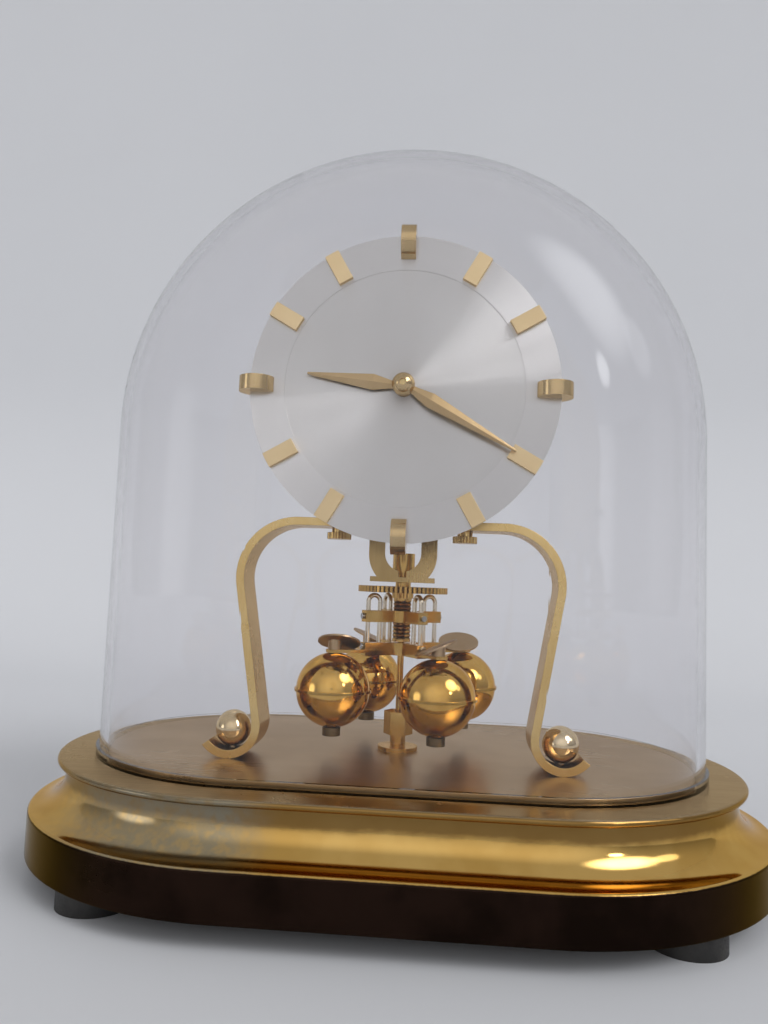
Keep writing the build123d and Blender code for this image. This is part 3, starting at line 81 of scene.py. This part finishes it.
# Camera, fitted to the outlines in the photograph: metres, degrees and millimetres
EYE = (0.01263, -0.2666, 0.08845)
YAW, PITCH, ROLL = -4.27, 4.96, 2.19
LENS, SENSOR = 28.36, 36.0


# Shader building

class Tree:
    """A node tree, with short calls that add and join its nodes."""

    def __init__(self, tree):
        self.nodes, self.links = tree.nodes, tree.links

    def join(self, value, socket):
        """Links an output, or sets a constant."""
        if isinstance(value, bpy.types.NodeSocket):
            self.links.new(value, socket)
        else:
            socket.default_value = value

    def span(self, value, low, high, to_low=0.0, to_high=1.0):
        """Smooth step of a value from one range to another."""
        node = self.nodes.new("ShaderNodeMapRange")
        node.interpolation_type = "SMOOTHSTEP"
        self.join(value, node.inputs["Value"])
        node.inputs["From Min"].default_value = low
        node.inputs["From Max"].default_value = high
        node.inputs["To Min"].default_value = to_low
        node.inputs["To Max"].default_value = to_high
        return node.outputs["Result"]

    def math(self, operation, a, b=0.0):
        """Math node on one or two values."""
        node = self.nodes.new("ShaderNodeMath")
        node.operation = operation
        self.join(a, node.inputs[0])
        self.join(b, node.inputs[1])
        return node.outputs[0]

    def add(self, a, b):
        return self.math("ADD", a, b)

    def times(self, a, b):
        return self.math("MULTIPLY", a, b)

    def vector(self, operation, a, b=(0.0, 0.0, 0.0)):
        """Vector math node; a length or a dot product gives a single value."""
        node = self.nodes.new("ShaderNodeVectorMath")
        node.operation = operation
        self.join(a, node.inputs[0])
        self.join(b, node.inputs[1])
        return node.outputs["Value" if operation in ("LENGTH", "DOT_PRODUCT") else "Vector"]

    def axis(self, vector, index):
        """One coordinate of a vector."""
        node = self.nodes.new("ShaderNodeSeparateXYZ")
        self.links.new(vector, node.inputs[0])
        return node.outputs[index]


class Shader(Tree):
    """One material: its Principled shader and the nodes that feed it."""

    def __init__(self, name):
        self.material = bpy.data.materials.new(name)
        self.material.use_nodes = True
        super().__init__(self.material.node_tree)
        self.nodes.clear()
        self.out = self.nodes.new("ShaderNodeOutputMaterial")
        self.bsdf = self.nodes.new("ShaderNodeBsdfPrincipled")
        self.links.new(self.bsdf.outputs["BSDF"], self.out.inputs["Surface"])
        self.place = self.nodes.new("ShaderNodeTexCoord").outputs["Object"]
        self.normal = self.nodes.new("ShaderNodeNewGeometry").outputs["Normal"]

    def set(self, **values):
        """Sets sockets of the shader; an underscore stands for a space in a socket's name."""
        for name, value in values.items():
            self.bsdf.inputs[name.replace("_", " ")].default_value = value

    def feed(self, colour, rough):
        """Joins the colour and the roughness to the shader."""
        self.join(colour, self.bsdf.inputs["Base Color"])
        self.join(rough, self.bsdf.inputs["Roughness"])

    def noise(self, scale, detail=3.0, rough=0.55, seed=0.0):
        """Noise over the object, with its scale per metre along each axis."""
        stretch = self.nodes.new("ShaderNodeMapping")
        self.links.new(self.place, stretch.inputs["Vector"])
        stretch.inputs["Scale"].default_value = scale
        node = self.nodes.new("ShaderNodeTexNoise")
        node.noise_dimensions = "4D"
        self.links.new(stretch.outputs["Vector"], node.inputs["Vector"])
        node.inputs["Scale"].default_value = 1.0
        node.inputs["Detail"].default_value = detail
        node.inputs["Roughness"].default_value = rough
        node.inputs["W"].default_value = seed
        return node.outputs["Fac"]

    def smear(self, scale, seed):
        """Finger smears, for the gloss."""
        return self.noise(scale, detail=5.0, rough=0.7, seed=seed)

    def grain(self, scale, seed):
        """Lines left by working the metal."""
        return self.noise(scale, detail=4.0, rough=0.65, seed=seed)

    def weigh(self, a, share_a, b, share_b):
        """Weighted sum of two values."""
        return self.add(self.times(a, share_a), self.times(b, share_b))

    def mix(self, share, a, b):
        """Colour mix."""
        node = self.nodes.new("ShaderNodeMix")
        node.data_type = "RGBA"
        sockets = [s for s in node.inputs if s.type == "RGBA"]
        self.join(share, node.inputs["Factor"])
        for value, socket in zip((a, b), sockets):
            linked = isinstance(value, bpy.types.NodeSocket)
            self.join(value if linked else (*value, 1.0), socket)
        return [s for s in node.outputs if s.type == "RGBA"][0]

    def bump(self, height, depth, strength=1.0, edge=0.0):
        """Bump of a depth in metres, over edges rounded by the edge radius."""
        node = self.nodes.new("ShaderNodeBump")
        self.links.new(height, node.inputs["Height"])
        node.inputs["Distance"].default_value = depth
        node.inputs["Strength"].default_value = strength
        if edge:
            soft = self.nodes.new("ShaderNodeBevel")
            soft.samples = 4
            soft.inputs["Radius"].default_value = edge
            self.links.new(soft.outputs["Normal"], node.inputs["Normal"])
        self.links.new(node.outputs["Normal"], self.bsdf.inputs["Normal"])


def darker(colour, share):
    """A colour multiplied by a share."""
    return tuple(c * share for c in colour)


def rim(colour):
    """Tint of a metal seen at a grazing angle."""
    return (*(0.5 + 0.5 * c for c in colour), 1.0)


# Materials

def metal(name, bright, dull, rough, grain, patch=90.0, depth=2e-6, spread=0.10, edge=0.00012,
          seed=0.0, groove_shade=None):
    """Worked metal: two tones in soft patches, grain lines, smears in the gloss, rounded edges.

    grain and patch are noise scales per metre, depth is the bump of the grain, spread is how far
    the roughness wanders, and the last one gives the share of painted shade in grooves."""
    s = Shader(name)
    s.set(Metallic=1.0, Specular_Tint=rim(bright))
    lines = s.grain(grain, seed)
    cloud = s.noise((patch, patch, patch), seed=seed + 3.1)
    smear = s.smear((patch * 0.35, patch * 0.5, patch * 0.35), seed + 7.7)
    tone = s.weigh(cloud, 0.65, lines, 0.35)
    colour = s.mix(s.span(tone, *TONE_RANGE), dull, bright)
    if groove_shade:
        # Painted shade: darkens the colour in the grooves of the disc's teeth and thread
        colour = s.mix(groove_shade(s), colour, darker(dull, 0.15))
    gloss = s.add(s.span(smear, *SMEAR_RANGE, rough - spread * 0.4, rough + spread * 0.6),
                  s.span(lines, *GRAIN_RANGE, -spread * 0.2, spread * 0.2))
    s.feed(colour, gloss)
    s.bump(lines, depth, edge=edge)
    return s.material


def base_metal():
    """Pressed base: wall painted near black as a dark reflection, polished cove with tarnish and a
    painted shade band at its top, satin flange.
    """
    s = Shader("base_brass")
    s.set(Metallic=1.0, Specular_Tint=(0.85, 0.70, 0.50, 1.0))
    side, height = s.axis(s.place, 0), s.axis(s.place, 2)
    upward = s.axis(s.normal, 2)
    cloud = s.noise((60, 60, 60), seed=1.0)
    fine = s.noise((900, 900, 900), detail=2.0, seed=2.0)
    smear = s.smear((26, 40, 60), 3.0)
    spots = s.noise((420, 420, 420), detail=2.0, seed=5.0)
    lines = s.noise((40, 1500, 1500), seed=6.0)

    patches = s.span(cloud, *CLOUD_RANGE)
    gold = s.mix(patches, (0.62, 0.37, 0.10), (0.71, 0.45, 0.14))
    uneven = s.add(height, s.span(smear, *GRAIN_RANGE, -0.0008, 0.0008))
    # Painted shade: a dark band across the top of the cove
    painted_recess_shade = s.span(uneven, *RECESS_SHADE_HEIGHT, 0.0, 0.72)
    gold = s.mix(painted_recess_shade, gold, (0.16, 0.085, 0.028))

    tarnish = s.times(s.span(side, *TARNISH_RIGHT), s.span(side, *TARNISH_LEFT, 0.25, 1.0))
    tarnish = s.times(tarnish, s.span(smear, 0.25, 0.75, 0.45, 0.85))
    tarnish = s.times(tarnish, s.span(spots, 0.3, 0.6, 0.60, 1.0))
    gold = s.mix(tarnish, gold, (0.26, 0.27, 0.23))

    satin = s.mix(s.span(lines, *CLOUD_RANGE), (0.36, 0.27, 0.17), (0.45, 0.35, 0.23))
    flange = s.times(s.span(height, *FLANGE_HEIGHT), s.span(upward, 0.55, 0.9))
    ragged = s.add(height, s.span(fine, 0.2, 0.8, -0.00004, 0.00004))
    # Painted reflection: the wall below the cove gets a near black colour that stands in for a
    # dark reflection, not the brass's own colour
    wall = s.span(ragged, *WALL_HEIGHT)
    painted_dark_reflection = s.mix(patches, (0.012, 0.007, 0.005), (0.024, 0.013, 0.009))
    colour = s.mix(wall, s.mix(flange, gold, satin), painted_dark_reflection)

    gloss = s.span(smear, *SMEAR_RANGE, 0.05, 0.12)
    for area, duller in ((tarnish, 0.16), (flange, 0.17), (wall, 0.07)):
        gloss = s.add(gloss, s.times(area, duller))
    s.feed(colour, gloss)
    s.bump(s.add(s.times(fine, 0.5), smear), 6e-6, edge=0.0004)
    return s.material


def leg_metal():
    """Bent strip: edges facing front painted a lighter yellow as lit, side faces painted darker
    and browner as shade, brushed along its length.
    """
    s = Shader("leg_brass")
    s.set(Metallic=1.0, Specular_Tint=(0.92, 0.80, 0.62, 1.0))
    lines = s.grain((2800, 2800, 60), 21.0)
    cloud = s.noise((70, 70, 70), seed=22.0)
    smear = s.smear((40, 40, 30), 23.0)
    front = s.span(s.math("ABSOLUTE", s.axis(s.normal, 1)), 0.4, 0.8)
    tone = s.span(s.weigh(cloud, 0.6, lines, 0.4), *TONE_RANGE)
    # Painted light and shade: a lighter yellow copy of the brass on the edges facing front, a
    # darker browner copy on the side faces
    edge = s.mix(tone, (0.78, 0.54, 0.21), (0.86, 0.62, 0.27))
    face = s.mix(tone, (0.50, 0.33, 0.16), (0.60, 0.42, 0.21))
    s.feed(s.mix(front, face, edge), s.span(smear, *SMEAR_RANGE, 0.20, 0.34))
    s.bump(lines, 3e-6, edge=0.00025)
    return s.material


def ball_metal(name, bright, dull, seam, seed):
    """Polished ball: tarnish spots, finger smears and, at the height seam, a dark joint."""
    s = Shader(name)
    s.set(Metallic=1.0, Specular_Tint=rim(bright))
    cloud = s.noise((120, 120, 120), seed=seed)
    spots = s.noise((600, 600, 600), detail=2.0, seed=seed + 1)
    smear = s.smear((70, 70, 110), seed + 2)
    colour = s.mix(s.span(cloud, *CLOUD_RANGE), dull, bright)
    colour = s.mix(s.span(spots, 0.63, 0.72, 0.0, 0.6), colour, darker(dull, 0.35))
    if seam:
        off = s.math("ABSOLUTE", s.math("SUBTRACT", s.axis(s.place, 2), seam))
        colour = s.mix(s.span(off, *BALL_JOINT, 0.0, 0.55), colour, darker(dull, 0.3))
    gloss = s.add(s.span(smear, 0.38, 0.7, 0.04, 0.13), s.span(spots, 0.6, 0.75, 0.0, 0.15))
    s.feed(colour, gloss)
    s.bump(s.add(smear, s.times(spots, 0.3)), 6e-6, edge=0.00015)
    return s.material


def dial_metal(centre):
    """Silvered dial: spun inner zone, plainer outer ring, fine turning lines."""
    s = Shader("dial_silver")
    s.set(Metallic=1.0, Anisotropic=0.97, Anisotropic_Rotation=0.25)
    across = s.vector("MULTIPLY", s.vector("SUBTRACT", s.place, centre), (1.0, 0.0, 1.0))
    radius = s.vector("LENGTH", across)
    rings = s.nodes.new("ShaderNodeTexNoise")
    rings.noise_dimensions = "1D"
    s.join(s.times(radius, DIAL_LINES), rings.inputs["W"])
    rings.inputs["Scale"].default_value = 1.0
    rings.inputs["Detail"].default_value = 3.0
    lines = rings.outputs["Fac"]
    cloud = s.noise((60, 60, 60), seed=31.0)
    ring = s.span(radius, *DIAL_RING)
    tone = s.span(s.weigh(cloud, 0.5, lines, 0.5), 0.34, 0.66)
    inner = s.mix(tone, (0.85, 0.83, 0.805), (0.90, 0.88, 0.86))
    outer = s.mix(tone, (0.95, 0.925, 0.905), (0.98, 0.96, 0.94))
    gloss = s.add(s.span(ring, 0.0, 1.0, 0.43, 0.47), s.span(lines, *GRAIN_RANGE, -0.03, 0.03))
    s.feed(s.mix(ring, inner, outer), gloss)
    turn = s.nodes.new("ShaderNodeTangent")
    turn.direction_type = "RADIAL"
    turn.axis = "Y"
    s.links.new(turn.outputs["Tangent"], s.bsdf.inputs["Tangent"])
    s.bump(lines, 5e-7, strength=0.3)
    return s.material


def glass():
    """Clear dome glass with slight ripples, greyer where it is seen edge on."""
    s = Shader("dome_glass")
    s.set(Base_Color=(0.977, 0.973, 0.980, 1.0), Metallic=0.0, IOR=1.34, Transmission_Weight=1.0)
    wave = s.noise((28, 28, 16), detail=2.0, seed=41.0)
    dust = s.noise((900, 900, 900), detail=2.0, seed=42.0)
    s.join(s.span(dust, 0.62, 0.8, 0.0, 0.015), s.bsdf.inputs["Roughness"])
    s.bump(wave, 0.00006, strength=0.15)
    depth = s.nodes.new("ShaderNodeVolumeAbsorption")
    depth.inputs["Color"].default_value = (0.70, 0.68, 0.70, 1.0)
    depth.inputs["Density"].default_value = 35.0
    s.links.new(depth.outputs["Volume"], s.out.inputs["Volume"])
    return s.material


def black_foot():
    """Moulded black foot with a fine grain."""
    s = Shader("foot_black")
    s.set(Metallic=0.0)
    grain = s.noise((1500, 1500, 1500), seed=51.0)
    cloud = s.noise((160, 160, 160), seed=52.0)
    colour = s.mix(s.span(cloud, *CLOUD_RANGE), (0.012, 0.011, 0.010), (0.030, 0.027, 0.024))
    s.feed(colour, s.span(grain, *GRAIN_RANGE, 0.42, 0.62))
    s.bump(grain, 3e-5, strength=0.5, edge=0.0003)
    return s.material


def disc_groove_shade(s):
    """Painted shade between the teeth of the regulating disc's rim and in its screw thread."""
    rim_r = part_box("regulator")[1].x
    x, y = s.axis(s.place, 0), s.axis(s.place, 1)
    away = s.math("SQRT", s.add(s.times(x, x), s.times(y, y)))
    flat = s.math("ABSOLUTE", s.axis(s.normal, 2))
    teeth = s.times(s.span(away, *(rim_r - deep for deep in TEETH_TIP)),
                    s.span(away, *TEETH_ROOT))
    teeth = s.times(teeth, s.span(flat, 0.7, 0.3))
    thread = s.times(s.span(away, *THREAD_TIP), s.span(away, *THREAD_ROOT))
    return s.times(s.add(teeth, thread), 0.85)


METALS = {
    "plate_brass": dict(bright=(0.61, 0.46, 0.29), dull=(0.50, 0.36, 0.21), rough=0.30,
                        grain=(12, 2600, 2600), patch=40, depth=3e-6, spread=0.07, edge=0.0003,
                        seed=11.0),
    "bar_brass": dict(bright=(0.92, 0.71, 0.41), dull=(0.85, 0.64, 0.35), rough=0.36,
                      grain=(2500, 2500, 2500), patch=50, spread=0.06, edge=0.00015, seed=61.0),
    "roll_brass": dict(bright=(0.70, 0.52, 0.28), dull=(0.60, 0.43, 0.21), rough=0.13,
                       grain=(3000, 200, 3000), patch=70, spread=0.06, edge=0.00015, seed=60.0),
    "hand_brass": dict(bright=(0.72, 0.52, 0.28), dull=(0.62, 0.43, 0.21), rough=0.38,
                       grain=(2500, 2500, 2500), patch=60, edge=0.0001, seed=62.0),
    "movement_brass": dict(bright=(0.74, 0.56, 0.27), dull=(0.62, 0.45, 0.19), rough=0.26,
                           grain=(3000, 3000, 60), seed=63.0),
    "pendulum_brass": dict(bright=(0.68, 0.43, 0.14), dull=(0.52, 0.31, 0.08), rough=0.17,
                           grain=(300, 300, 4000), seed=65.0),
    "regulator_brass": dict(bright=(0.70, 0.45, 0.16), dull=(0.55, 0.33, 0.10), rough=0.19,
                            grain=(300, 300, 4000), edge=0.00004, seed=66.0, groove_shade=disc_groove_shade),
    "cap_brass": dict(bright=(0.60, 0.43, 0.27), dull=(0.49, 0.34, 0.19), rough=0.36,
                      grain=(3000, 3000, 3000), seed=67.0),
    "yoke_brass": dict(bright=(0.58, 0.40, 0.17), dull=(0.46, 0.31, 0.12), rough=0.27,
                       grain=(3500, 3500, 60), depth=1e-6, seed=69.0),
    "nut_brass": dict(bright=(0.26, 0.18, 0.09), dull=(0.16, 0.11, 0.05), rough=0.33,
                      grain=(900, 900, 3000), seed=71.0),
    "wire_brass": dict(bright=(0.83, 0.76, 0.64), dull=(0.71, 0.63, 0.50), rough=0.09,
                       grain=(3000, 3000, 300), seed=73.0),
    "steel": dict(bright=(0.55, 0.54, 0.53), dull=(0.42, 0.41, 0.40), rough=0.24,
                  grain=(2500, 2500, 2500), seed=75.0),
}

# Nodes that wear each finish; the rest are movement_brass
WEARS = {
    "base_brass": ["base_shell"],
    "plate_brass": ["base_plate"],
    "leg_brass": ["leg_left", "leg_right", "thumb_nuts", "leg_blocks"],
    "ball_brass": ["balls"],
    "leg_ball_brass": ["leg_balls"],
    "cap_brass": ["petal_caps"],
    "yoke_brass": ["yoke"],
    "nut_brass": ["ball_nuts"],
    "wire_brass": ["hairpins"],
    "pendulum_brass": ["upper_hub", "lower_hub", "spindle", "ball_bolts", "lower_block",
                       "guide_post", "upper_block", "fork", "saddle"],
    "regulator_brass": ["regulator"],
    "bar_brass": ["dial_bars"],
    "roll_brass": ["dial_rolls", "hand_nut"],
    "hand_brass": ["hour_hand", "minute_hand"],
    "dial_silver": ["dial"],
    "dome_glass": ["glass_dome"],
    "foot_black": ["feet"],
    "steel": ["leg_screws", "plate_screws", "foot_nuts", "guide_nut", "saddle_screws",
              "yoke_screws", "upper_hub_screws", "lower_hub_screws", "suspension_ribbon",
              "anchor", "winding_arbor", "click"],
}


def middle(node):
    """Centre of a node's box."""
    low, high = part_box(node)
    return (low + high) / 2


def paint():
    """Gives every node its material."""
    finish = {name: metal(name, **look) for name, look in METALS.items()}
    finish["base_brass"] = base_metal()
    finish["leg_brass"] = leg_metal()
    finish["ball_brass"] = ball_metal("ball_brass", (0.81, 0.50, 0.14), (0.66, 0.37, 0.08),
                                      middle("balls").z, 81.0)
    finish["leg_ball_brass"] = ball_metal("leg_ball_brass", (0.86, 0.70, 0.47),
                                          (0.74, 0.57, 0.34), None, 85.0)
    finish["dial_silver"] = dial_metal(tuple(middle("dial")))
    finish["dome_glass"] = glass()
    finish["foot_black"] = black_foot()
    chosen = {node: name for name, group in WEARS.items() for node in group}
    for node, thing in NODES.items():
        thing.data.materials.clear()
        thing.data.materials.append(finish[chosen.get(node, "movement_brass")])
        for face in thing.data.polygons:
            face.material_index = 0


# Suspension ribbon, built as two strips

def strip(name, low, high, z0, z1, rows):
    """Flat strip between two heights, in short lengths."""
    corners = [(low.x, low.y), (high.x, low.y), (high.x, high.y), (low.x, high.y)]
    verts = [(x, y, z0 + (z1 - z0) * k / rows) for k in range(rows + 1) for x, y in corners]
    faces = [(4 * k + i, 4 * k + (i + 1) % 4, 4 * k + 4 + (i + 1) % 4, 4 * k + 4 + i)
             for k in range(rows) for i in range(4)]
    faces += [(3, 2, 1, 0), tuple(4 * rows + i for i in range(4))]
    mesh = bpy.data.meshes.new(name)
    mesh.from_pydata(verts, [], faces)
    mesh.materials.append(NODES["suspension_ribbon"].data.materials[0])
    thing = bpy.data.objects.new(name, mesh)
    SCENE.collection.objects.link(thing)
    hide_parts("suspension_ribbon")
    return thing


def ribbon():
    """One length down to the fork and through it, and one from the fork to the pendulum."""
    low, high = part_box("suspension_ribbon")
    grip_low, grip_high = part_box("fork")
    seam = grip_low.z - SEAM_GAP
    upper = strip("ribbon_upper", low, high, seam, high.z, UPPER_ROWS)
    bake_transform(upper)
    lower = strip("ribbon_lower", low, high, low.z, seam, LOWER_ROWS)
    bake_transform(lower)


# Stage, light and camera

def stage():
    """Pale floor that sweeps up into the backdrop."""
    wide, front, back, bend, high, steps = 3.0, -2.5, 0.75, 0.35, 2.4, 12
    angles = [pi / 2 * k / steps for k in range(1, steps + 1)]
    path = [(front, 0.0), (back - bend, 0.0)]
    path += [(back - bend + bend * sin(a), bend - bend * cos(a)) for a in angles]
    path += [(back, high)]
    verts = [(x, y, z) for y, z in path for x in (-wide, wide)]
    faces = [(2 * k, 2 * k + 1, 2 * k + 3, 2 * k + 2) for k in range(len(path) - 1)]
    mesh = bpy.data.meshes.new("stage")
    mesh.from_pydata(verts, [], faces)
    mesh.polygons.foreach_set("use_smooth", [True] * len(faces))
    thing = bpy.data.objects.new("stage", mesh)
    SCENE.collection.objects.link(thing)
    s = Shader("stage_grey")
    s.set(Metallic=0.0, Specular_IOR_Level=0.1)
    cloud = s.noise((3.0, 3.0, 3.0), detail=2.0, seed=91.0)
    s.feed(s.mix(cloud, (0.68, 0.685, 0.705), (0.72, 0.725, 0.745)), 0.85)
    mesh.materials.append(s.material)


def light():
    """Even room light, a soft key, a front fill and windows; plain where the sky is seen."""
    world = bpy.data.worlds.new("room")
    SCENE.world = world
    world.use_nodes = True
    t = Tree(world.node_tree)
    way = t.nodes.new("ShaderNodeTexCoord").outputs["Generated"]
    total = t.span(t.axis(way, 2), *SKY_HEIGHTS, *SKY_STRENGTHS)
    for aim, inner, outer, strength in PATCHES.values():
        near = t.vector("DOT_PRODUCT", way, Vector(aim).normalized())
        total = t.add(total, t.span(near, cos(radians(outer)), cos(radians(inner)), 0.0, strength))
    ray = t.nodes.new("ShaderNodeLightPath").outputs
    shallow = t.math("LESS_THAN", ray["Ray Depth"], SEEN_DEPTH)
    seen = t.add(t.times(ray["Is Transmission Ray"], shallow), ray["Is Camera Ray"])
    plain = t.nodes.new("ShaderNodeMix")
    t.join(seen, plain.inputs["Factor"])
    t.join(total, plain.inputs["A"])
    t.join(PLAIN_STRENGTH, plain.inputs["B"])
    back = t.nodes["Background"]
    t.join(SKY_COLOUR, back.inputs["Color"])
    t.join(plain.outputs["Result"], back.inputs["Strength"])


def camera():
    """Stands where the photograph's outlines put it."""
    yaw, pitch, roll = radians(YAW), radians(PITCH), radians(ROLL)
    ahead = Vector((sin(yaw) * cos(pitch), cos(yaw) * cos(pitch), sin(pitch)))
    level = Vector((cos(yaw), -sin(yaw), 0.0))
    above = level.cross(ahead)
    right = cos(roll) * level + sin(roll) * above
    up = -sin(roll) * level + cos(roll) * above
    turn = Matrix((right, up, -ahead)).transposed().to_4x4()
    data = bpy.data.cameras.new("camera")
    data.sensor_width = SENSOR
    data.lens = LENS
    data.clip_start = 0.01
    thing = bpy.data.objects.new("camera", data)
    thing.matrix_world = Matrix.Translation(EYE) @ turn
    SCENE.collection.objects.link(thing)
    SCENE.camera = thing


paint()
ribbon()
stage()
light()
camera()
SCENE.view_settings.view_transform = "Standard"
